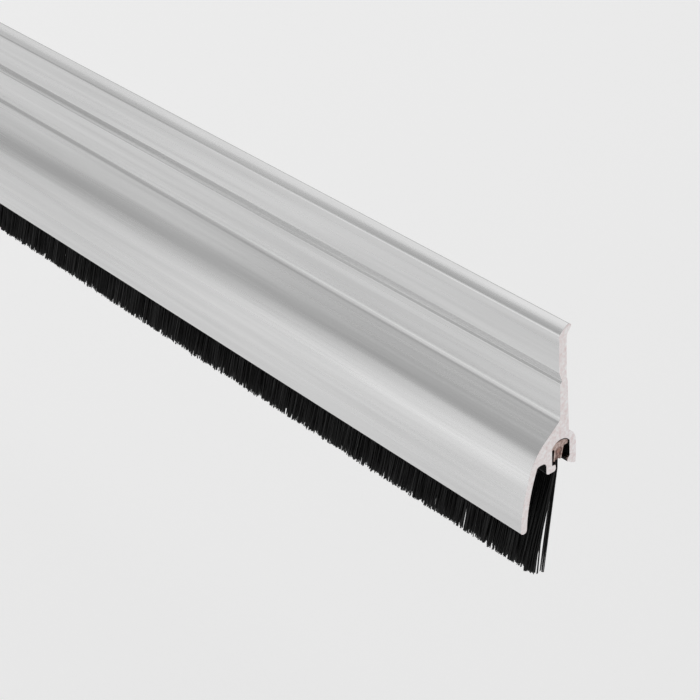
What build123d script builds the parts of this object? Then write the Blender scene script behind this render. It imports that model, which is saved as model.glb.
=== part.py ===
from build123d import *
import os
from math import cos, radians, sin, sqrt

# Door sweep: an aluminium carrier fixed to the face of a door, with a brush insert in its
# channel that closes the gap to the floor.
# Millimetres. X runs along the sweep, Y points back at the door, Z points up. The origin is
# the middle of the flat on the back of the brush channel, which lies against the door.
# Each piece is a cross-section, drawn with (across, up) for (Y, Z), and extruded along X.

# Lengths
length = 914.0             # carrier, cut square at both ends
insert_recess = 0.3        # the brush insert stops this far inside each end

# Brush channel, at the foot of the carrier
back_flat = 5.5            # height of the flat that lies on the door
back_wall = 1.9            # wall between the channel and the door
channel_width = 5.3        # inside, wall to wall
channel_crown = 4.95       # height of the arched roof above the origin
arch_rise = 1.35           # rise of the roof above the side walls
lip_drop = 0.9             # top of the front lip, below the origin
leg_wall = 1.7             # wall in front of the channel
toe_wall = 1.7             # thickness of the front lip
mouth_width = 3.5          # between the two lips
mouth_shift = 0.2          # middle of the mouth, behind the middle of the channel
heel_drop = 0.4            # top of the back lip's slope, below the origin
heel_slope = 0.95          # height of that slope
heel_edge = 0.5            # height of the back lip's edge
heel_hang = 0.4            # how far the back lip hangs below the flat
shoulder_radius = 4.0      # outside of the channel, from the flat round to the web

# Web and top lip, above the channel
web_wall = 2.2
web_foot_gap = 2.1         # door to web, where the web stands on the channel
web_gap = 2.5              # door to web, just under the drill groove
upper_web_gap = 2.8        # door to web, above the drill groove
groove_height = 19.8       # drill groove, above the origin
groove_depth = 0.85
groove_upper = 2.45        # height of the groove's long upper flank
groove_lower = 0.45        # height of its short lower flank
neck_height = 31.55        # where the top lip leaves the front of the web
lip_rise = 2.05            # rise of the top lip's front face
lip_gap = 1.3              # door to the tip of the top lip
lip_end_rise = 0.65        # height of the tip's end face
lip_end_run = 0.95         # depth of the tip's end face
lip_back_drop = 0.55       # back of the lip's root, below the front of its root
lip_bow = 0.2              # bulge of the top lip's front face

# Hood, in front of the brush
hood_wall = 1.8
hood_root = 10.03          # height where its slope leaves the web
hood_pitch = 38.5          # degrees below level
hood_slope = 5.75          # straight run of the slope
brow_radius = 14.3         # upper bend
brow_turn = 31.0           # degrees
skirt_radius = 49.0        # gentler bend below it
skirt_turn = 18.3          # degrees
pocket_top = 0.8           # roof of the hollow between the hood and the channel

# Brush insert: a T-section backing that grips filaments folded over a wire
insert_fit = 0.15          # side clearance of the backing in the channel
crown_gap = 0.45           # clearance above the backing
head_arch = 0.95           # rise of the backing's top
head_wall = 0.95           # thickness of the backing's arms at their edges
stem_wall = 0.4            # wall of the backing's stem beside the folded filaments
cheek_wall = 0.35          # wall of the stem at its open end
stem_dip = 0.2             # how far the stem reaches into the channel's mouth
mouth_fit = 0.6            # clearance between the stem and each lip
wire_diameter = 1.0
wire_drop = 1.1            # wire below the underside of the arms
filament_layer = 0.4       # filaments folded round the wire
nest_gap = 0.05            # clearance between the wire, the filaments and the backing

# Bristles, below the channel's mouth
lean = 14.5                # degrees that the bristles lean forward
flex_drop = 0.63           # line that the bristles flex about, below the front lip
flex_gap = 0.3             # clearance between the roots and the bristles that flex
bristle_length = 27.0      # flex line to tips
tip_width = 4.6            # spread of the tips, front to rear

channel_back = -back_wall
channel_front = channel_back - channel_width
channel_mid = (channel_back + channel_front) / 2
arch_spring = channel_crown - arch_rise
leg_front = channel_front - leg_wall
toe_tip = channel_mid + mouth_shift - mouth_width / 2
heel_tip = channel_mid + mouth_shift + mouth_width / 2
toe_bottom = -lip_drop - toe_wall
heel_top = -heel_drop - heel_slope
flat_end = back_flat / 2
web_front = -web_gap - web_wall
upper_front = -upper_web_gap - web_wall
insert_length = length - 2 * insert_recess
head_crown = channel_crown - crown_gap
arms_height = head_crown - head_arch - head_wall
stem_end = -lip_drop - stem_dip
stem_bottom = mouth_width - 2 * mouth_fit
root_width = stem_bottom - 2 * cheek_wall - 2 * nest_gap
ring_radius = wire_diameter / 2 + nest_gap + filament_layer
stem_top = 2 * (ring_radius + nest_gap + stem_wall)
wire_centre = Vector(channel_mid, arms_height - wire_drop)
lean_down = Vector(-sin(radians(lean)), -cos(radians(lean)))
lean_front = Vector(-cos(radians(lean)), sin(radians(lean)))
flex_reach = (stem_end - toe_bottom + flex_drop) / cos(radians(lean))
flex_line = Vector(channel_mid, stem_end) + lean_down * flex_reach


def write_piece(name, section, piece_length):
    piece = extrude(Plane.YZ * section, piece_length / 2, both=True)
    piece.label = name
    export_step(piece, f"parts/{name}.step")


def rounded(section, corners):
    # rounds the corner nearest to each place in a list of ((across, up), radius)
    for place, radius in corners:
        nearest = section.vertices().sort_by_distance(Vector(*place))[0]
        section = fillet(nearest, radius)
    return section


def hood_curve(depth):
    # the hood at a depth under its outer skin: a straight slope, then two tangent bends
    heading = Vector(-cos(radians(hood_pitch)), -sin(radians(hood_pitch)))
    inward = Vector(-heading.Y, heading.X)
    start = Vector(web_front, hood_root) + inward * depth
    slope = Line(start, start + heading * hood_slope)
    brow = JernArc(slope @ 1, slope % 1, brow_radius - depth, brow_turn)
    skirt = JernArc(brow @ 1, brow % 1, skirt_radius - depth, skirt_turn)
    return [slope, brow, skirt]


def hood_section():
    outer, inner = hood_curve(0), hood_curve(hood_wall)
    bottom = Line(outer[-1] @ 1, inner[-1] @ 1)
    top = Line(inner[0] @ 0, outer[0] @ 0)
    hood = make_face(outer + inner + [bottom, top])
    bottom_round = 0.45 * hood_wall
    return rounded(hood, [(bottom @ 0, bottom_round), (bottom @ 1, bottom_round)])


def web_and_channel_section():
    slope, brow, _ = hood_curve(hood_wall / 2)
    shoulder_rise = sqrt(shoulder_radius**2 - (shoulder_radius - web_foot_gap) ** 2)
    shoulder_top = (-web_foot_gap, flat_end + shoulder_rise)
    lip_top = neck_height + lip_rise
    front_lip = Polyline(
        brow @ 0.75,
        ((brow @ 0.75).X, pocket_top),
        (leg_front, pocket_top),
        (leg_front, toe_bottom),
        (toe_tip, toe_bottom),
        (toe_tip, -lip_drop),
        (channel_front, -lip_drop),
        (channel_front, arch_spring),
    )
    roof = ThreePointArc(front_lip @ 1, (channel_mid, channel_crown), (channel_back, arch_spring))
    back_lip = Polyline(
        roof @ 1,
        (channel_back, -heel_drop),
        (heel_tip, heel_top),
        (heel_tip, heel_top - heel_edge),
        (-heel_hang, -flat_end - heel_hang),
        (0, -flat_end),
        (0, flat_end),
    )
    shoulder = RadiusArc(back_lip @ 1, shoulder_top, -shoulder_radius)
    web_back = Polyline(
        shoulder_top,
        (-web_gap, groove_height - groove_lower),
        (-upper_web_gap, groove_height + groove_lower),
        (-upper_web_gap, neck_height - lip_back_drop),
        (-lip_gap, lip_top - lip_end_rise),
        (-lip_gap - lip_end_run, lip_top),
    )
    lip_front = SagittaArc(web_back @ 1, (upper_front, neck_height), -lip_bow)
    web = Polyline(
        (upper_front, neck_height),
        (upper_front, groove_height + groove_upper),
        (upper_front + groove_depth, groove_height),
        (web_front, groove_height - groove_lower),
        (web_front, hood_root),
        slope @ 0.9,
        brow @ 0.75,
    )
    return make_face([front_lip, roof, back_lip, shoulder, web_back, lip_front, web])


def carrier_section():
    section = hood_section() + web_and_channel_section()
    pocket_hood = min(v.X for v in section.vertices() if abs(v.Y - pocket_top) < 0.01)
    pocket_round = min(1.1, 0.42 * (leg_front - pocket_hood))
    toe_round = 0.43 * toe_wall
    toe_step = toe_tip - channel_front
    heel_round = min(0.3, 0.4 * (channel_back - heel_tip))
    corners = [
        ((leg_front, pocket_top), pocket_round),
        ((pocket_hood, pocket_top), pocket_round),
        ((leg_front, toe_bottom), toe_round),
        ((toe_tip, toe_bottom), toe_round),
        ((toe_tip, -lip_drop), min(0.45, 0.45 * toe_step)),
        ((channel_front, -lip_drop), min(0.3, 0.3 * toe_step)),
        ((channel_back, -heel_drop), heel_round),
        ((heel_tip, heel_top), heel_round / 2),
        ((heel_tip, heel_top - heel_edge), heel_round / 2),
        ((-heel_hang, -flat_end - heel_hang), 0.45),
        ((0, -flat_end), 0.45),
        ((-web_foot_gap, flat_end + shoulder_radius), 0.5),
        ((web_front, hood_root), 2.2),
        ((web_front, groove_height - groove_lower), 0.25),
        ((upper_front + groove_depth, groove_height), 0.15),
        ((upper_front, groove_height + groove_upper), 1.0),
        ((upper_front, neck_height), 1.2),
        ((-upper_web_gap, neck_height - lip_back_drop), 1.5),
        ((-lip_gap, neck_height + lip_rise - lip_end_rise), 0.4),
        ((-lip_gap - lip_end_run, neck_height + lip_rise), 0.4),
    ]
    return rounded(section, corners)


def keyhole(radius, slot_width, slot_end):
    # a round outline about the wire, with a straight slot down from it
    slot = Rectangle(slot_width, wire_centre.Y - slot_end)
    slot_centre = Pos(wire_centre.X, (wire_centre.Y + slot_end) / 2)
    return Pos(wire_centre) * Circle(radius) + slot_centre * slot


def backing_section():
    half_head = channel_width / 2 - insert_fit
    edge_top = head_crown - head_arch
    arch = ThreePointArc(
        (channel_mid - half_head, edge_top),
        (channel_mid, head_crown),
        (channel_mid + half_head, edge_top),
    )
    rest = Polyline(
        arch @ 1,
        (channel_mid + half_head, arms_height),
        (channel_mid + stem_top / 2, arms_height),
        (channel_mid + stem_bottom / 2, stem_end),
        (channel_mid - stem_bottom / 2, stem_end),
        (channel_mid - stem_top / 2, arms_height),
        (channel_mid - half_head, arms_height),
        arch @ 0,
    )
    nest = keyhole(ring_radius + nest_gap, root_width + 2 * nest_gap, stem_end - 1)
    return make_face([arch, rest]) - nest


def roots_section():
    # the filaments folded over the wire, then leaning forward through the channel's mouth
    tail = make_face(
        Polyline(
            (channel_mid + root_width / 2, stem_end),
            flex_line - lean_front * (root_width / 2),
            flex_line + lean_front * (root_width / 2),
            (channel_mid - root_width / 2, stem_end),
            (channel_mid + root_width / 2, stem_end),
        )
    )
    roots = keyhole(ring_radius, root_width, stem_end) + tail
    wire_hole = Pos(wire_centre) * Circle(wire_diameter / 2 + nest_gap)
    flex_room = Pos(flex_line) * Circle(root_width / 2 + flex_gap)
    return roots - wire_hole - flex_room


def bristle_section(side):
    # one leg of the folded filaments, fanning out from the flex line: side 1 front, -1 rear
    near = flex_line + lean_front * (side * root_width / 2)
    half_spread = lean_front * (side * tip_width / 2)
    drop = sqrt(bristle_length**2 - (tip_width / 2) ** 2)
    corner_tip = flex_line + lean_down * drop + half_spread
    mid_tip = flex_line + lean_down * bristle_length
    round_top = RadiusArc(near, flex_line - lean_down * (root_width / 2), side * root_width / 2)
    outside = Polyline(round_top @ 0, corner_tip)
    tips = RadiusArc(mid_tip, corner_tip, side * bristle_length)
    inside = Line(round_top @ 1, mid_tip)
    return make_face([round_top, outside, tips, inside])


os.makedirs("parts", exist_ok=True)
write_piece("carrier", carrier_section(), length)
write_piece("brush_backing", backing_section(), insert_length)
write_piece("core_wire", Pos(wire_centre) * Circle(wire_diameter / 2), insert_length)
write_piece("filament_roots", roots_section(), insert_length)
write_piece("front_bristles", bristle_section(1), insert_length)
write_piece("rear_bristles", bristle_section(-1), insert_length)
print("flex line", flex_line, "drill groove", upper_front + groove_depth, groove_height)
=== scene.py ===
import math

import bmesh
import bpy
import numpy as np
from mathutils import Matrix, Vector


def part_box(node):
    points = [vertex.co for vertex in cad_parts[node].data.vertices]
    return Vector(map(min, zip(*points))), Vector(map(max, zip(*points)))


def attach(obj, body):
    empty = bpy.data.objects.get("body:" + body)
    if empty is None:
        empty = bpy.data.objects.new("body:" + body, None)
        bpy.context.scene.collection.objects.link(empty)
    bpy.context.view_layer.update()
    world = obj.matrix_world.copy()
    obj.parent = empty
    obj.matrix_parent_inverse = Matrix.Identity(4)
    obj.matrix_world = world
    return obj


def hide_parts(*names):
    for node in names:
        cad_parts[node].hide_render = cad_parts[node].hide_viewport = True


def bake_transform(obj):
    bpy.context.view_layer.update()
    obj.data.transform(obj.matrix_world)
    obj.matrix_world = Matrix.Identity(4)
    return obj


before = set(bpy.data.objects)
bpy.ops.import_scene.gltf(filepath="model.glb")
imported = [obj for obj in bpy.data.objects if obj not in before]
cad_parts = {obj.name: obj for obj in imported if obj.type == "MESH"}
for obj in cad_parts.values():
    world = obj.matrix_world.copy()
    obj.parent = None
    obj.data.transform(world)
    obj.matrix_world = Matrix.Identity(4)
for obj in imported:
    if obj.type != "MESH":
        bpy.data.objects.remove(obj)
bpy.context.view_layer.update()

mm = 0.001
scene = bpy.context.scene
carrierLow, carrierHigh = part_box("carrier")
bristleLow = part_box("rear_bristles")[0]
print("frame loaded, carrier from", carrierLow, "to", carrierHigh)


def tint(code):  # sRGB hex to the linear colour that Blender wants
    parts = [int(code[i:i + 2], 16) / 255 for i in (1, 3, 5)]
    return [p / 12.92 if p <= 0.04045 else ((p + 0.055) / 1.055) ** 2.4 for p in parts] + [1.0]


def addNode(tree, kind, inputs, **settings):
    made = tree.nodes.new(kind)
    for name, value in settings.items():
        setattr(made, name, value)
    for socket, value in inputs.items():
        if isinstance(value, bpy.types.NodeSocket):
            tree.links.new(value, made.inputs[socket])
        else:
            made.inputs[socket].default_value = value
    return made


def newMaterial(name):
    material = bpy.data.materials.new(name)
    material.use_nodes = True
    tree = material.node_tree
    tree.nodes.clear()
    place = addNode(tree, "ShaderNodeTexCoord", {}).outputs["Object"]
    return material, tree, place


def closeMaterial(tree, shader):
    addNode(tree, "ShaderNodeOutputMaterial", {"Surface": shader.outputs[0]})


# the pen that draws cross-sections: across is Y and up is Z, both in millimetres
pen = {}


def startSection(name, across, up, x):
    bpy.ops.object.select_all(action="DESELECT")
    bpy.ops.mesh.primitive_plane_add(size=mm)
    piece = bpy.context.object
    piece.name = name
    bpy.context.tool_settings.mesh_select_mode = (True, False, False)
    bpy.ops.object.mode_set(mode="EDIT")
    bpy.ops.mesh.merge(type="CENTER")
    bpy.ops.transform.translate(value=(x, across * mm, up * mm))
    pen["at"] = Vector((across, up))
    pen["x"] = x
    return piece


def lineTo(*places):
    for across, up in places:
        step = Vector((across, up)) - pen["at"]
        bpy.ops.mesh.extrude_vertices_move(
            TRANSFORM_OT_translate={"value": (0, step.x * mm, step.y * mm)})
        pen["at"] = Vector((across, up))
    pen["heading"] = step.normalized()


def arcAbout(centre, turn, steps):  # turn in degrees, from across towards up
    centre = Vector(centre)
    bpy.ops.mesh.spin(steps=steps, angle=-math.radians(turn), use_auto_merge=False,
                      center=(pen["x"], centre.x * mm, centre.y * mm), axis=(1, 0, 0))
    around = Matrix.Rotation(math.radians(turn), 2)
    pen["at"] = centre + around @ (pen["at"] - centre)
    pen["heading"] = around @ pen["heading"]


def bendBy(radius, turn, steps):  # an arc that leaves along the last heading
    side = Vector((-pen["heading"].y, pen["heading"].x)) * math.copysign(1, turn)
    arcAbout(pen["at"] + side * radius, turn, steps)


def closeSection():
    bpy.ops.mesh.select_all(action="SELECT")
    bpy.ops.mesh.remove_doubles(threshold=0.004 * mm)  # merges points that meet
    bpy.ops.mesh.edge_face_add()


def roundCorners(piece, corners):
    # rounds the corner nearest to each place, with enough steps to look smooth
    for (across, up), radius in corners:
        bpy.ops.mesh.select_all(action="DESELECT")
        shape = bmesh.from_edit_mesh(piece.data)
        place = Vector((pen["x"], across * mm, up * mm))
        corner = min(shape.verts, key=lambda v: (v.co - place).length)
        legs = [(e.other_vert(corner).co - corner.co).normalized() for e in corner.link_edges]
        inside = legs[0].angle(legs[1])
        reach = radius * mm / math.tan(inside / 2)
        corner.select_set(True)
        shape.select_flush(True)
        bmesh.update_edit_mesh(piece.data)
        steps = max(3, round(math.degrees(math.pi - inside) / 9))  # about 9 degrees each
        bpy.ops.mesh.bevel(offset=reach, segments=steps, affect="VERTICES",
                           clamp_overlap=False)


def runAlong(length, chamfer):
    # extrudes the drawn section along X, short by the chamfers that the ends get later
    bpy.ops.mesh.select_all(action="SELECT")
    bpy.ops.mesh.extrude_region_move(
        TRANSFORM_OT_translate={"value": (length - 2 * chamfer, 0, 0)})
    bpy.ops.mesh.select_all(action="SELECT")
    bpy.ops.mesh.normals_make_consistent(inside=False)


def pickFaces(piece, test):
    bpy.ops.mesh.select_all(action="DESELECT")
    shape = bmesh.from_edit_mesh(piece.data)
    bpy.context.tool_settings.mesh_select_mode = (False, False, True)
    for face in shape.faces:
        face.select_set(test(face))
    bmesh.update_edit_mesh(piece.data)


def finishShape(piece, angle):
    bpy.ops.mesh.select_all(action="SELECT")
    bpy.ops.mesh.quads_convert_to_tris()
    bpy.ops.object.mode_set(mode="OBJECT")
    bpy.ops.object.shade_smooth_by_angle(angle=math.radians(angle))
    weighted = piece.modifiers.new("flats stay flat", "WEIGHTED_NORMAL")
    weighted.keep_sharp = True
    weighted.weight = 100
    bpy.ops.object.modifier_apply(modifier=weighted.name)


carrier = {
    "length": 914.0, "cutEdge": 0.06,
    "webFront": -4.7, "upperFront": -5.0, "neck": 31.55, "lipTop": (-2.25, 33.6),
    "lipBow": 9.0, "grooveUp": 22.25, "groove": (-4.15, 19.8), "grooveFoot": 19.35,
    "hoodRoot": 10.03, "hoodPitch": 38.5, "hoodSlope": 5.75, "hoodWall": 1.8,
    "brow": (14.3, 31.0), "skirt": (49.0, 18.3), "pocketTop": 0.8, "legFront": -8.9,
    "toeTip": -6.1, "toeTop": -0.9, "toeBottom": -2.6, "channelFront": -7.2,
    "channelBack": -1.9, "channelMid": -4.55, "archSpring": 3.6, "channelCrown": 4.95,
    "heelTip": -2.6, "heelTop": -1.35, "heelFoot": -1.85, "heelHang": (-0.4, -3.15),
    "heelDrop": -0.4, "flatEnd": 2.75, "shoulder": (-4.0, 4.0), "webFootGap": -2.1,
    "webBack": (-2.5, 19.35), "upperBack": (-2.8, 20.25), "lipBack": (-2.8, 31.0),
    "lipTip": (-1.3, 32.95), "smoothAngle": 32,
}


def drawCarrier(c):
    start = -(c["length"] / 2 - c["cutEdge"]) * mm
    piece = startSection("carrierExtrusion", *c["lipTop"], start)
    # front of the top lip: a shallow bulge down to the web
    foot = Vector((c["upperFront"], c["neck"]))
    chord = foot - Vector(c["lipTop"])
    half = math.asin(chord.length / 2 / c["lipBow"])
    pen["heading"] = Matrix.Rotation(-half, 2) @ chord.normalized()
    bendBy(c["lipBow"], math.degrees(2 * half), 8)
    lineTo((c["upperFront"], c["grooveUp"]), c["groove"], (c["webFront"], c["grooveFoot"]),
           (c["webFront"], c["hoodRoot"]))
    # outside of the hood
    pitch = math.radians(c["hoodPitch"])
    down = Vector((-math.cos(pitch), -math.sin(pitch))) * c["hoodSlope"]
    lineTo(Vector((c["webFront"], c["hoodRoot"])) + down)
    bendBy(*c["brow"], 14)
    browCentre = pen["at"] + Vector((-pen["heading"].y, pen["heading"].x)) * c["brow"][0]
    bendBy(*c["skirt"], 8)
    # round the bottom edge, up the inside and over the hollow behind the hood
    inward = Vector((-pen["heading"].y, pen["heading"].x))
    outerEdge = pen["at"].copy()
    lineTo(pen["at"] + inward * c["hoodWall"])
    innerEdge = pen["at"].copy()
    pen["heading"] = Vector((-inward.y, inward.x))
    bendBy(c["skirt"][0] - c["hoodWall"], -c["skirt"][1], 8)
    reach = c["brow"][0] - c["hoodWall"]
    roofAcross = browCentre.x - math.sqrt(reach**2 - (c["pocketTop"] - browCentre.y) ** 2)
    fromAngle = math.atan2(pen["at"].y - browCentre.y, pen["at"].x - browCentre.x)
    toAngle = math.atan2(c["pocketTop"] - browCentre.y, roofAcross - browCentre.x)
    arcAbout(browCentre, math.degrees(toAngle - fromAngle), 3)
    roofEdge = pen["at"].copy()
    lineTo((c["legFront"], c["pocketTop"]), (c["legFront"], c["toeBottom"]),
           (c["toeTip"], c["toeBottom"]), (c["toeTip"], c["toeTop"]),
           (c["channelFront"], c["toeTop"]), (c["channelFront"], c["archSpring"]))
    # arched roof of the brush channel
    width = c["channelBack"] - c["channelFront"]
    rise = c["channelCrown"] - c["archSpring"]
    radius = (width**2 / 4 + rise**2) / (2 * rise)
    sweep = 2 * math.degrees(math.asin(width / 2 / radius))
    arcAbout((c["channelMid"], c["channelCrown"] - radius), -sweep, 18)
    # back lip, flat against the door, shoulder and back of the web
    lineTo((c["channelBack"], c["heelDrop"]), (c["heelTip"], c["heelTop"]),
           (c["heelTip"], c["heelFoot"]), c["heelHang"], (0, -c["flatEnd"]),
           (0, c["flatEnd"]))
    turn = math.degrees(math.acos((c["shoulder"][1] + c["webFootGap"]) / c["shoulder"][1]))
    arcAbout((c["shoulder"][0], c["flatEnd"]), turn, 10)
    shoulderTop = pen["at"].copy()
    lineTo(c["webBack"], c["upperBack"], c["lipBack"], c["lipTip"], c["lipTop"])
    closeSection()
    roundCorners(piece, [
        (outerEdge, 0.81), (innerEdge, 0.81), (roofEdge, 1.05),
        ((c["legFront"], c["pocketTop"]), 1.1), ((c["legFront"], c["toeBottom"]), 0.73),
        ((c["toeTip"], c["toeBottom"]), 0.73), ((c["toeTip"], c["toeTop"]), 0.45),
        ((c["channelFront"], c["toeTop"]), 0.3), ((c["channelBack"], c["heelDrop"]), 0.28),
        ((c["heelTip"], c["heelTop"]), 0.14), ((c["heelTip"], c["heelFoot"]), 0.14),
        (c["heelHang"], 0.45), ((0, -c["flatEnd"]), 0.45), (shoulderTop, 0.5),
        ((c["webFront"], c["hoodRoot"]), 2.2), ((c["webFront"], c["grooveFoot"]), 0.3),
        (c["groove"], 0.15), ((c["upperFront"], c["grooveUp"]), 1.0),
        ((c["upperFront"], c["neck"]), 1.2), (c["lipBack"], 1.5),
        (c["lipTip"], 0.4), (c["lipTop"], 0.4),
    ])
    runAlong(c["length"] * mm, c["cutEdge"] * mm)
    for side in (-1, 1):
        pickFaces(piece, lambda f: f.normal.x * side > 0.9)
        bpy.ops.mesh.inset(thickness=c["cutEdge"] * mm, depth=c["cutEdge"] * mm)
    finishShape(piece, c["smoothAngle"])
    return piece


carrierPiece = drawCarrier(carrier)
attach(carrierPiece, "carrier")
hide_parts("carrier")
print("carrier", len(carrierPiece.data.polygons), "faces")


# brown backing of the brush insert
backing = {
    "length": 913.4, "mid": -4.55, "halfHead": 2.5, "edgeTop": 3.55, "crown": 4.5,
    "arms": 2.6, "stemTop": 1.4, "stemFoot": 1.15, "stemEnd": -1.1,
    "nest": 1.0, "wireUp": 1.5, "slot": 0.8, "slant": 9.0, "rim": 0.04, "rimDepth": 0.03,
    "smoothAngle": 32,
}


def drawBacking(b):
    mid = b["mid"]
    piece = startSection("brushBacking", mid - b["slot"], b["stemEnd"], -b["length"] / 2 * mm)
    lineTo((mid - b["stemFoot"], b["stemEnd"]), (mid - b["stemTop"], b["arms"]),
           (mid - b["halfHead"], b["arms"]), (mid - b["halfHead"], b["edgeTop"]))
    rise = b["crown"] - b["edgeTop"]
    radius = (b["halfHead"] ** 2 + rise**2) / (2 * rise)
    sweep = 2 * math.degrees(math.asin(b["halfHead"] / radius))
    arcAbout((mid, b["crown"] - radius), -sweep, 14)
    lineTo((mid + b["halfHead"], b["arms"]), (mid + b["stemTop"], b["arms"]),
           (mid + b["stemFoot"], b["stemEnd"]), (mid + b["slot"], b["stemEnd"]))
    neck = b["wireUp"] - math.sqrt(b["nest"] ** 2 - b["slot"] ** 2)
    lineTo((mid + b["slot"], neck))
    below = math.degrees(math.asin(b["slot"] / b["nest"]))
    arcAbout((mid, b["wireUp"]), 360 - 2 * below, 24)
    lineTo((mid - b["slot"], b["stemEnd"]))
    closeSection()
    roundCorners(piece, [
        ((mid - b["halfHead"], b["edgeTop"]), 0.25), ((mid + b["halfHead"], b["edgeTop"]), 0.25),
        ((mid - b["halfHead"], b["arms"]), 0.2), ((mid + b["halfHead"], b["arms"]), 0.2),
        ((mid - b["stemTop"], b["arms"]), 0.25), ((mid + b["stemTop"], b["arms"]), 0.25),
        ((mid - b["stemFoot"], b["stemEnd"]), 0.15), ((mid + b["stemFoot"], b["stemEnd"]), 0.15),
    ])
    runAlong(b["length"] * mm, 0)
    # the insert was snipped to length, so its ends slope back towards the stem
    for side in (-1, 1):
        pickFaces(piece, lambda f: f.normal.x * side > 0.9)
        end = side * b["length"] / 2 * mm
        bpy.ops.mesh.inset(thickness=b["rim"] * mm, depth=-b["rimDepth"] * mm)
        shape = bmesh.from_edit_mesh(piece.data)
        for corner in shape.verts:
            if abs(corner.co.x - end) < 0.1 * mm:
                drop = b["crown"] * mm - corner.co.z
                corner.co.x -= side * drop * math.tan(math.radians(b["slant"]))
        bmesh.update_edit_mesh(piece.data)
    finishShape(piece, b["smoothAngle"])
    return piece


backingPiece = drawBacking(backing)
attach(backingPiece, "brush_insert")
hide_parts("brush_backing")
print("backing", len(backingPiece.data.polygons), "faces")


# where the insert was sawn, heat has smeared its plastic over the filaments' ends
smear = {
    "radius": 1.06, "slot": 0.86, "foot": -0.95, "thick": 0.5, "behind": 0.1,
    "ripples": ((0.18, 0.05), (0.2, -0.07), (0.16, 0.06)), "rough": (-0.09, 0.05),
}


def drawSmear(name, b, m, side):
    mid = b["mid"]
    face = b["length"] / 2 - (b["crown"] - b["wireUp"]) * math.tan(math.radians(b["slant"]))
    outside = side * (face - m["behind"]) * mm
    piece = startSection(name, mid - m["slot"], m["foot"], outside - side * m["thick"] * mm)
    lineTo((mid + m["slot"], m["foot"]))
    neck = b["wireUp"] - math.sqrt(m["radius"] ** 2 - m["slot"] ** 2)
    lineTo((mid + m["slot"], neck))
    below = math.degrees(math.asin(m["slot"] / m["radius"]))
    arcAbout((mid, b["wireUp"]), 360 - 2 * below, 16)
    lineTo((mid - m["slot"], m["foot"]))
    closeSection()
    bpy.ops.mesh.select_all(action="SELECT")
    bpy.ops.mesh.extrude_region_move(
        TRANSFORM_OT_translate={"value": (side * m["thick"] * mm, 0, 0)})
    bpy.ops.mesh.select_all(action="SELECT")
    bpy.ops.mesh.normals_make_consistent(inside=False)
    # ripples on the face that shows
    pickFaces(piece, lambda f: f.normal.x * side > 0.9)
    for thickness, depth in m["ripples"]:
        bpy.ops.mesh.inset(thickness=thickness * mm, depth=depth * mm)
    chance = np.random.default_rng(7)
    shape = bmesh.from_edit_mesh(piece.data)
    for corner in shape.verts:
        if corner.co.x * side > outside * side - 0.2 * mm:
            corner.co.x += side * chance.uniform(*m["rough"]) * mm
        drop = b["wireUp"] * mm - corner.co.z
        corner.co.x -= side * drop * math.tan(math.radians(b["slant"]))
    bmesh.update_edit_mesh(piece.data)
    finishShape(piece, 50)
    return piece


smearPieces = [drawSmear("smearedEndLeft", backing, smear, -1),
               drawSmear("smearedEndRight", backing, smear, 1)]
for piece in smearPieces:
    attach(piece, "brush_insert")
print("smeared ends", sum(len(piece.data.polygons) for piece in smearPieces), "faces")


# wire that the filaments are folded over
wire = {
    "length": 912.4, "across": -4.55, "up": 1.5, "radius": 0.5, "edge": 0.08, "sides": 20,
    "pinch": (1, 0.8, 0.95),
}


def drawWire(w):
    bpy.ops.object.select_all(action="DESELECT")
    bpy.ops.mesh.primitive_cylinder_add(
        vertices=w["sides"], radius=w["radius"] * mm, depth=w["length"] * mm,
        rotation=(0, math.pi / 2, 0))
    piece = bpy.context.object
    piece.name = "coreWire"
    piece.location = (0, w["across"] * mm, w["up"] * mm)
    bpy.ops.object.transform_apply(location=True, rotation=True, scale=True)
    bpy.ops.object.mode_set(mode="EDIT")
    for side in (-1, 1):  # ends pinched a little by the cutters
        pickFaces(piece, lambda f: f.normal.x * side > 0.9)
        bpy.ops.mesh.inset(thickness=w["edge"] * mm, depth=w["edge"] / 2 * mm)
        bpy.ops.transform.resize(value=w["pinch"])
    finishShape(piece, 40)
    return piece


wirePiece = drawWire(wire)
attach(wirePiece, "brush_insert")
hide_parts("core_wire")
print("wire", len(wirePiece.data.polygons), "faces")


# black filaments, in millimetres and degrees
filament = {
    "thickness": 0.26, "across": -4.55, "wireUp": 1.5, "foldRadius": 0.65, "folds": 1500,
    "rootUp": -0.2, "flexAcross": -5.101, "flexUp": -3.23, "lean": 14.5,
    "halfLength": 455.6, "rootHalf": 0.6, "bands": 4, "perBand": 6000, "fan": 3.6, "reach": 25.75,
    "endLean": 17.2, "cuts": (0.25, 0.5, 0.75), "shares": (0.0, 0.36, 0.7, 1.0),
}


def modelFilament(f):
    # one straight three-sided filament, from 0 down to -1, cut into four lengths; its corners
    # stand out a tenth further, because three sides look thinner than a round filament
    bpy.ops.object.select_all(action="DESELECT")
    bpy.ops.mesh.primitive_cylinder_add(
        vertices=3, radius=f["thickness"] / 2 * mm * 1.1, depth=1, location=(0, 0, -0.5))
    strand = bpy.context.object
    bpy.ops.object.transform_apply(location=True)
    bpy.ops.object.mode_set(mode="EDIT")
    for cut in f["cuts"]:
        bpy.ops.mesh.select_all(action="SELECT")
        bpy.ops.mesh.bisect(plane_co=(0, 0, -cut), plane_no=(0, 0, 1))
    bpy.ops.object.mode_set(mode="OBJECT")
    points = np.array([v.co for v in strand.data.vertices])
    faces = [tuple(p.vertices) for p in strand.data.polygons]
    bpy.data.objects.remove(strand)
    return points, faces


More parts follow.
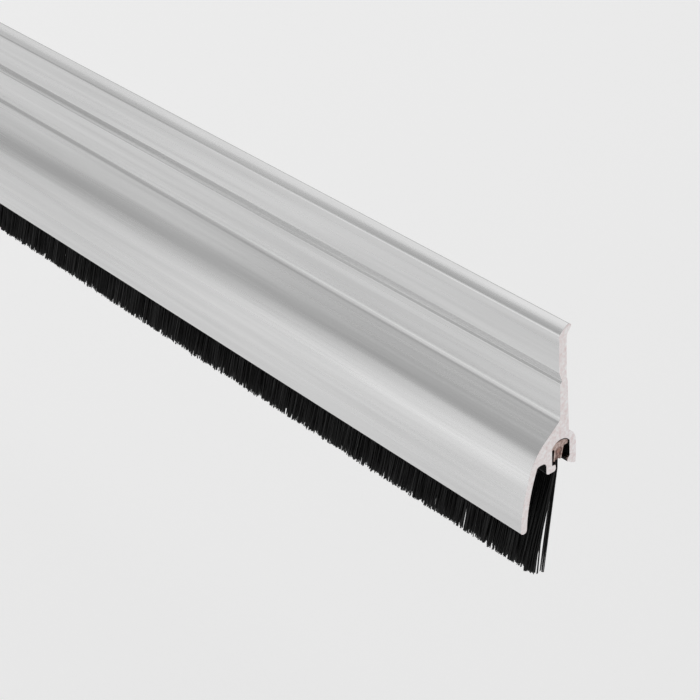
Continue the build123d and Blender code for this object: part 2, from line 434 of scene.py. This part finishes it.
def copyMesh(name, places, faces):
    # places holds the points of every copy, and faces are the first one's
    first = np.arange(len(places))[:, None] * places.shape[1]
    rows = []
    for face in faces:
        rows += (first + np.array(face)).tolist()
    mesh = bpy.data.meshes.new(name)
    mesh.from_pydata(places.reshape(-1, 3).tolist(), [], rows)
    mesh.shade_smooth()
    piece = bpy.data.objects.new(name, mesh)
    scene.collection.objects.link(piece)
    return piece


def layStrands(name, points, faces, course, spin):
    # copies the strand: course holds, for each copy, the centre of its five cuts
    level = np.rint(-points[:, 2] * (course.shape[1] - 1)).astype(int)
    c, s = np.cos(spin)[:, None], np.sin(spin)[:, None]
    at = course[:, level, :].copy()
    at[:, :, 0] += points[:, 0] * c - points[:, 1] * s
    at[:, :, 1] += points[:, 0] * s + points[:, 1] * c
    return copyMesh(name, at, faces)


def combBand(f, chance, front, rear, count):
    # strands side by side along the insert, between two depths in the pack (1 front, -1 rear)
    span = 2 * f["halfLength"]
    x = (np.arange(count) + chance.uniform(0.1, 0.9, count)) * span / count - f["halfLength"]
    depth = chance.uniform(rear, front, count)
    lean = f["lean"] + f["fan"] * depth + chance.normal(0, 0.35, count)
    # clumps: neighbours share a little lean and draw together at their tips
    edges = np.cumsum(chance.uniform(0.8, 3.0, int(span)))
    edges = edges[edges < span] - f["halfLength"]
    clump = np.searchsorted(edges, x)
    centre = np.append(edges, f["halfLength"])[clump]
    lean += chance.normal(0, 0.3, len(edges) + 1)[clump]
    pull = (centre - 1.0 - x) * chance.uniform(0.0, 0.16, count)
    sway = np.radians(chance.normal(0, 0.8, count) + chance.normal(0, 0.6, len(edges) + 1)[clump])
    reach = f["reach"] - 0.15 * depth + chance.normal(0, 0.07, count)
    reach += chance.normal(0, 0.08, len(edges) + 1)[clump]
    stray = chance.random(count) < 0.02
    reach[stray] += chance.uniform(-0.5, 0.4, stray.sum())
    # beside a cut end the rear filaments bow back, then lean further forward
    nearEnd = np.clip((np.abs(x) - f["halfLength"] + 5) / 4, 0, 1) * np.clip(0.4 - depth, 0, 1)
    lean += nearEnd * (f["endLean"] - lean)
    curl = chance.normal(0, 0.15, count) - 0.2 * nearEnd
    return x, depth, lean, pull, sway, reach, curl


def courseOf(f, x, depth, lean, pull, sway, reach, curl):
    lean = np.radians(lean)
    middle = math.radians(f["lean"])
    across = f["flexAcross"] - math.cos(middle) * depth * f["rootHalf"]
    up = f["flexUp"] + math.sin(middle) * depth * f["rootHalf"]
    course = np.zeros((len(x), 5, 3))
    course[:, 0] = np.stack(
        [x, f["across"] - depth * f["rootHalf"] * 0.8, np.full(len(x), f["rootUp"])], 1)
    for cut, share in enumerate(f["shares"], 1):
        r = reach * share
        bend = curl * 4 * share * (1 - share)
        course[:, cut, 0] = x + r * np.tan(sway) * share + pull * share**2
        course[:, cut, 1] = across - r * np.sin(lean) - bend
        course[:, cut, 2] = up - r * np.cos(lean)
    lowest = bristleLow.z / mm + 0.06  # the tips stay inside the CAD solid's box
    course[:, :, 2] = np.maximum(course[:, :, 2], lowest)
    # the sawn ends stay inside the carrier's, and the roots behind the smeared plastic
    for cut, edge in enumerate((-0.3, 0.15, 0.2, 0.2, 0.2)):
        edge += f["halfLength"]
        course[:, cut, 0] = np.clip(course[:, cut, 0], -edge, edge)
    return course * mm


def foldFilaments(f):
    # one filament folded over the wire, then copied side by side along it
    x = -f["halfLength"] * mm
    piece = startSection("fold", f["across"] - f["foldRadius"], f["rootUp"], x)
    bpy.ops.mesh.delete(type="VERT")
    bpy.ops.mesh.primitive_circle_add(
        vertices=3, radius=f["thickness"] / 2 * mm,
        location=(x, (f["across"] - f["foldRadius"]) * mm, f["rootUp"] * mm))
    pen["at"] = Vector((f["across"] - f["foldRadius"], f["rootUp"]))
    bpy.ops.mesh.extrude_edges_move(
        TRANSFORM_OT_translate={"value": (0, 0, (f["wireUp"] - f["rootUp"]) * mm)})
    pen["heading"] = Vector((0, 1))
    arcAbout((f["across"], f["wireUp"]), -180, 7)
    bpy.ops.mesh.extrude_edges_move(
        TRANSFORM_OT_translate={"value": (0, 0, (f["rootUp"] - f["wireUp"]) * mm)})
    bpy.ops.mesh.select_all(action="SELECT")
    bpy.ops.mesh.remove_doubles(threshold=0.002 * mm)
    bpy.ops.mesh.fill_holes(sides=3)
    bpy.ops.mesh.normals_make_consistent(inside=False)
    bpy.ops.object.mode_set(mode="OBJECT")
    points = np.array([v.co for v in piece.data.vertices])
    faces = [tuple(p.vertices) for p in piece.data.polygons]
    bpy.data.objects.remove(piece)
    count = f["folds"]
    chance = np.random.default_rng(3)
    span = 2 * f["halfLength"]
    shift = (np.arange(count) + chance.uniform(0.2, 0.8, count)) * span / count * mm
    places = np.repeat(points[None], count, 0)
    places[:, :, 0] += shift[:, None]
    return copyMesh("foldedFilaments", places, faces)


foldPiece = foldFilaments(filament)
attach(foldPiece, "brush_insert")
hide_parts("filament_roots")
print("folds", len(foldPiece.data.polygons), "faces")


# loose filaments behind the pack at each cut end: how far in from the end, lean in degrees,
# length, sideways lean in degrees, and how far the middle bows forward
loose = [
    (0.1, 9.3, 26.9, 0.1, 0.0), (0.3, 9.5, 26.8, -0.2, 0.0), (0.5, 9.7, 26.9, 0.2, 0.05),
    (0.75, 9.6, 26.6, -0.3, 0.0), (0.2, 9.9, 26.7, 0.2, -0.05), (0.95, 10.0, 26.8, 0.3, 0.1),
    (0.4, 13.0, 26.9, 0.1, 0.9), (0.7, 13.3, 26.8, -0.4, 0.8), (0.3, 13.1, 26.6, 0.3, 0.95),
    (0.6, 15.0, 26.8, 0.2, 0.6), (1.1, 15.3, 26.7, -0.3, 0.5), (0.5, 15.7, 26.3, 0.5, 0.4),
    (1.0, 16.8, 26.5, 0.4, 0.2), (0.8, 17.3, 26.2, -0.2, 0.1), (1.5, 16.2, 26.4, 0.6, 0.3),
]


def looseEnds(f):
    rows = []
    for side in (-1, 1):
        for inward, lean, reach, sway, bow in loose:
            x = side * (f["halfLength"] + 0.15 - inward)
            rows.append((x, -1.0, lean, 0.0, side * math.radians(sway), reach, bow))
    return np.array(rows).T


strandPoints, strandFaces = modelFilament(filament)
bandEdges = np.linspace(1, -1, filament["bands"] + 1)
bristlePieces = []
for band in range(filament["bands"]):
    chance = np.random.default_rng(40 + band)
    values = combBand(filament, chance, bandEdges[band], bandEdges[band + 1], filament["perBand"])
    if band == filament["bands"] - 1:
        values = [np.concatenate(pair) for pair in zip(values, looseEnds(filament))]
    course = courseOf(filament, *values)
    spin = chance.uniform(0, 2 * math.pi, len(course))
    piece = layStrands(f"bristles{band + 1}", strandPoints, strandFaces, course, spin)
    bristlePieces.append(piece)
    print(piece.name, len(piece.data.polygons), "faces")

# the folded roots stay with the insert; the bristle pieces are baked where they lie
for piece in bristlePieces:
    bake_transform(piece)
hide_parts("front_bristles")
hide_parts("rear_bristles")


view = {
    "place": (0.7458, -0.2820, 0.2750), "aim": (0.457, -0.061, 0.05209), "roll": -3.43,
    "lens": 113.14, "clip": (0.01, 50),
}


def placeCamera(v):
    place, aim = Vector(v["place"]), Vector(v["aim"])
    camera = bpy.data.objects.new("camera", bpy.data.cameras.new("camera"))
    scene.collection.objects.link(camera)
    look = (aim - place).to_track_quat("-Z", "Y").to_matrix()
    look = look @ Matrix.Rotation(math.radians(v["roll"]), 3, "Z")
    camera.matrix_world = Matrix.Translation(place) @ look.to_4x4()
    camera.data.lens = v["lens"]
    camera.data.clip_start, camera.data.clip_end = v["clip"]
    scene.camera = camera


placeCamera(view)

# three soft boxes, in metres and watts
lights = {
    "overhead": {
        "place": (-1.05, 0.52, 1.8), "aim": (-1.05, 0.52, 0), "size": (3.3, 2.8), "power": 15.5},
    "front": {
        "place": (-0.5, -1.59, 0.16), "aim": (0.35, 0, 0), "size": (1.2, 1.0), "power": 1.6},
    "left": {
        "place": (-2.5, -1.0, 1.6), "aim": (0.2, 0, 0), "size": (1.1, 1.1), "power": 0.9},
}


def hangLight(name, l):
    data = bpy.data.lights.new(name, "AREA")
    data.shape = "RECTANGLE"
    data.size, data.size_y = l["size"]
    data.energy = l["power"]
    light = bpy.data.objects.new(name, data)
    scene.collection.objects.link(light)
    place = Vector(l["place"])
    turn = (Vector(l["aim"]) - place).to_track_quat("-Z", "Y").to_matrix().to_4x4()
    light.matrix_world = Matrix.Translation(place) @ turn
    light.visible_camera = False


for name in lights:
    hangLight(name, lights[name])
print("camera and", len(lights), "lights")


def paintStudio():
    # even soft light from all round, with a backdrop as pale as the floor
    world = bpy.data.worlds.new("studio")
    world.use_nodes = True
    tree = world.node_tree
    tree.nodes.clear()
    glow = addNode(tree, "ShaderNodeBackground", {"Color": tint("#ffffff"), "Strength": 0.49})
    backdrop = addNode(tree, "ShaderNodeBackground", {"Color": tint("#ffffff"), "Strength": 0.68})
    seen = addNode(tree, "ShaderNodeLightPath", {}).outputs["Is Camera Ray"]
    mixed = addNode(tree, "ShaderNodeMixShader", {
        0: seen, 1: glow.outputs[0], 2: backdrop.outputs[0]})
    addNode(tree, "ShaderNodeOutputWorld", {"Surface": mixed.outputs[0]})
    scene.world = world
    scene.view_settings.view_transform = "Standard"


paintStudio()


def layFloor():
    bpy.ops.object.select_all(action="DESELECT")
    bpy.ops.mesh.primitive_plane_add(size=60, location=(0, 0, -0.4))
    floor = bpy.context.object
    floor.name = "floor"
    material, tree, place = newMaterial("pale studio paper")
    shader = addNode(tree, "ShaderNodeBsdfPrincipled", {
        "Base Color": tint("#e6e6e6"), "Roughness": 0.9, "Specular IOR Level": 0.1,
        "Emission Color": tint("#ffffff"), "Emission Strength": 0.285})
    closeMaterial(tree, shader)
    floor.data.materials.append(material)


layFloor()
print("world and floor")


# satin anodised extrusion: pale soft metal whose highlights break into fine lines along it
def anodisedAluminium():
    material, tree, place = newMaterial("satin anodised aluminium")
    # die lines about 0.7 mm apart and 170 mm long, coarser than the real ones of 0.1 mm or so
    along = addNode(tree, "ShaderNodeMapping", {"Vector": place, "Scale": (6, 1500, 1500)})
    lines = addNode(tree, "ShaderNodeTexNoise", {
        "Vector": along.outputs[0], "Scale": 1.0, "Detail": 3.0, "Roughness": 0.6})
    rough = addNode(tree, "ShaderNodeMapRange", {
        "Value": lines.outputs[0], "From Min": 0.25, "From Max": 0.75,
        "To Min": 0.2, "To Max": 0.3})
    # pale and dark bands that the die left, about 2 mm wide and 80 mm long
    drawn = addNode(tree, "ShaderNodeMapping", {"Vector": place, "Scale": (12, 480, 480)})
    bands = addNode(tree, "ShaderNodeTexNoise", {
        "Vector": drawn.outputs[0], "Scale": 1.0, "Detail": 2.0, "Roughness": 0.5})
    spread = addNode(tree, "ShaderNodeMapRange", {
        "Value": bands.outputs[0], "From Min": 0.3, "From Max": 0.7})
    colour = addNode(tree, "ShaderNodeMix", {
        0: spread.outputs[0], 6: tint("#d2d2d2"), 7: tint("#dfdfdf")}, data_type="RGBA")
    shader = addNode(tree, "ShaderNodeBsdfPrincipled", {
        "Base Color": colour.outputs[2], "Metallic": 1.0, "Roughness": rough.outputs[0]})
    closeMaterial(tree, shader)
    return material


# the same aluminium inside the channel and hood, where light hardly reaches: dull, with painted
# shade that darkens its colour
def aluminiumWithPaintedShade():
    material, tree, place = newMaterial("anodised aluminium inside with painted shade")
    # drawn lines, 1.1 mm apart
    along = addNode(tree, "ShaderNodeMapping", {"Vector": place, "Scale": (8, 900, 900)})
    lines = addNode(tree, "ShaderNodeTexNoise", {
        "Vector": along.outputs[0], "Scale": 1.0, "Detail": 3.0, "Roughness": 0.6})
    # painted shade: two dark greys in place of the pale anodised colour
    colour = addNode(tree, "ShaderNodeMix", {
        0: lines.outputs[0], 6: tint("#2f2f30"), 7: tint("#484848")}, data_type="RGBA")
    shader = addNode(tree, "ShaderNodeBsdfPrincipled", {
        "Base Color": colour.outputs[2], "Metallic": 1.0, "Roughness": 0.4})
    closeMaterial(tree, shader)
    return material


# aluminium fresh from the saw: nearly white, finely mottled, with a faint pink cast
def sawnAluminium():
    material, tree, place = newMaterial("sawn aluminium")
    # mottling about 0.9 mm across
    cloud = addNode(tree, "ShaderNodeTexNoise", {
        "Vector": place, "Scale": 1100.0, "Detail": 5.0, "Roughness": 0.7})
    patches = addNode(tree, "ShaderNodeMapRange", {
        "Value": cloud.outputs[0], "From Min": 0.32, "From Max": 0.68})
    colour = addNode(tree, "ShaderNodeMix", {
        0: patches.outputs[0], 6: tint("#efe0df"), 7: tint("#ffffff")}, data_type="RGBA")
    # marks of the saw's teeth, about 0.7 mm apart, in curved lines
    teeth = addNode(tree, "ShaderNodeTexWave", {
        "Vector": place, "Scale": 450.0, "Distortion": 3.0, "Detail": 2.0, "Detail Scale": 2.0},
        wave_type="RINGS", rings_direction="X")
    ridges = addNode(tree, "ShaderNodeBump", {
        "Height": teeth.outputs[1], "Strength": 0.08, "Distance": 0.03 * mm})
    shader = addNode(tree, "ShaderNodeBsdfPrincipled", {
        "Base Color": colour.outputs[2], "Metallic": 1.0, "Roughness": 0.5,
        "Normal": ridges.outputs[0]})
    closeMaterial(tree, shader)
    return material


# brown polypropylene: waxy on its skin, pale and blotched where it is cut; the skin's dark colour
# is partly the plastic's brown and partly painted shade
def brownPolypropylene(name, dark, pale):
    material, tree, place = newMaterial(name)
    # blotches about 0.7 mm across
    blotches = addNode(tree, "ShaderNodeTexNoise", {
        "Vector": place, "Scale": 1400.0, "Detail": 4.0, "Roughness": 0.6})
    patches = addNode(tree, "ShaderNodeMapRange", {
        "Value": blotches.outputs[0], "From Min": 0.35, "From Max": 0.65})
    colour = addNode(tree, "ShaderNodeMix", {
        0: patches.outputs[0], 6: tint(dark), 7: tint(pale)}, data_type="RGBA")
    shader = addNode(tree, "ShaderNodeBsdfPrincipled", {
        "Base Color": colour.outputs[2], "Roughness": 0.42})
    closeMaterial(tree, shader)
    return material


# drawn steel wire, stained brown by the plastic cut with it
def steelWire():
    material, tree, place = newMaterial("drawn steel wire")
    # stains about 0.4 mm across
    blotches = addNode(tree, "ShaderNodeTexNoise", {
        "Vector": place, "Scale": 2500.0, "Detail": 3.0, "Roughness": 0.6})
    colour = addNode(tree, "ShaderNodeMix", {
        0: blotches.outputs[0], 6: tint("#7a4a3c"), 7: tint("#c9a89c")}, data_type="RGBA")
    shader = addNode(tree, "ShaderNodeBsdfPrincipled", {
        "Base Color": colour.outputs[2], "Metallic": 1.0, "Roughness": 0.4})
    closeMaterial(tree, shader)
    return material


# black nylon: near black, with a weak sheen and slow changes of shade
def blackNylon():
    material, tree, place = newMaterial("black nylon filament")
    # shade changes about every 1.1 mm along the brush, coarser than the 0.26 mm filaments, and
    # every 33 mm down them
    strands = addNode(tree, "ShaderNodeMapping", {"Vector": place, "Scale": (900, 300, 30)})
    shade = addNode(tree, "ShaderNodeTexNoise", {
        "Vector": strands.outputs[0], "Scale": 1.0, "Detail": 2.0, "Roughness": 0.5})
    colour = addNode(tree, "ShaderNodeMix", {
        0: shade.outputs[0], 6: tint("#050505"), 7: tint("#121213")}, data_type="RGBA")
    shader = addNode(tree, "ShaderNodeBsdfPrincipled", {
        "Base Color": colour.outputs[2], "Roughness": 0.45, "Specular IOR Level": 0.25})
    closeMaterial(tree, shader)
    return material


carrierPiece.data.materials.append(anodisedAluminium())
carrierPiece.data.materials.append(sawnAluminium())
carrierPiece.data.materials.append(aluminiumWithPaintedShade())
# faces in the hollow behind the hood and in the brush channel get the aluminium with painted
# shade
for face in carrierPiece.data.polygons:
    across, up = face.center.y / mm, face.center.z / mm
    inHollow = across < -8.85 and up < 0.85 and face.normal.y > -0.2 and face.normal.z < 0.5
    inHollow = inHollow or (-8.95 < across < -8.1 and -2.3 < up < 0.85 and face.normal.y < -0.5)
    inChannel = -7.25 < across < -1.85 and -1.0 < up < 5.0
    if abs(face.normal.x) > 0.5:
        face.material_index = 1
    elif inHollow or inChannel:
        face.material_index = 2
# the skin colours are the brown plastic darkened further with painted shade of the channel; the
# cut colours are the plastic's own whitening
backingPiece.data.materials.append(
    brownPolypropylene("brown polypropylene skin with painted shade", "#1e1310", "#33221c"))
backingPiece.data.materials.append(
    brownPolypropylene("brown polypropylene cut", "#9a7468", "#e6d0c8"))
for face in backingPiece.data.polygons:
    if abs(face.normal.x) > 0.4:
        face.material_index = 1
for piece in smearPieces:
    piece.data.materials.append(
        brownPolypropylene("brown polypropylene smeared", "#5a2f27", "#c9a497"))
wirePiece.data.materials.append(steelWire())
nylon = blackNylon()
for piece in bristlePieces + [foldPiece]:
    piece.data.materials.append(nylon)
print("materials on", len(bristlePieces) + len(smearPieces) + 4, "pieces")
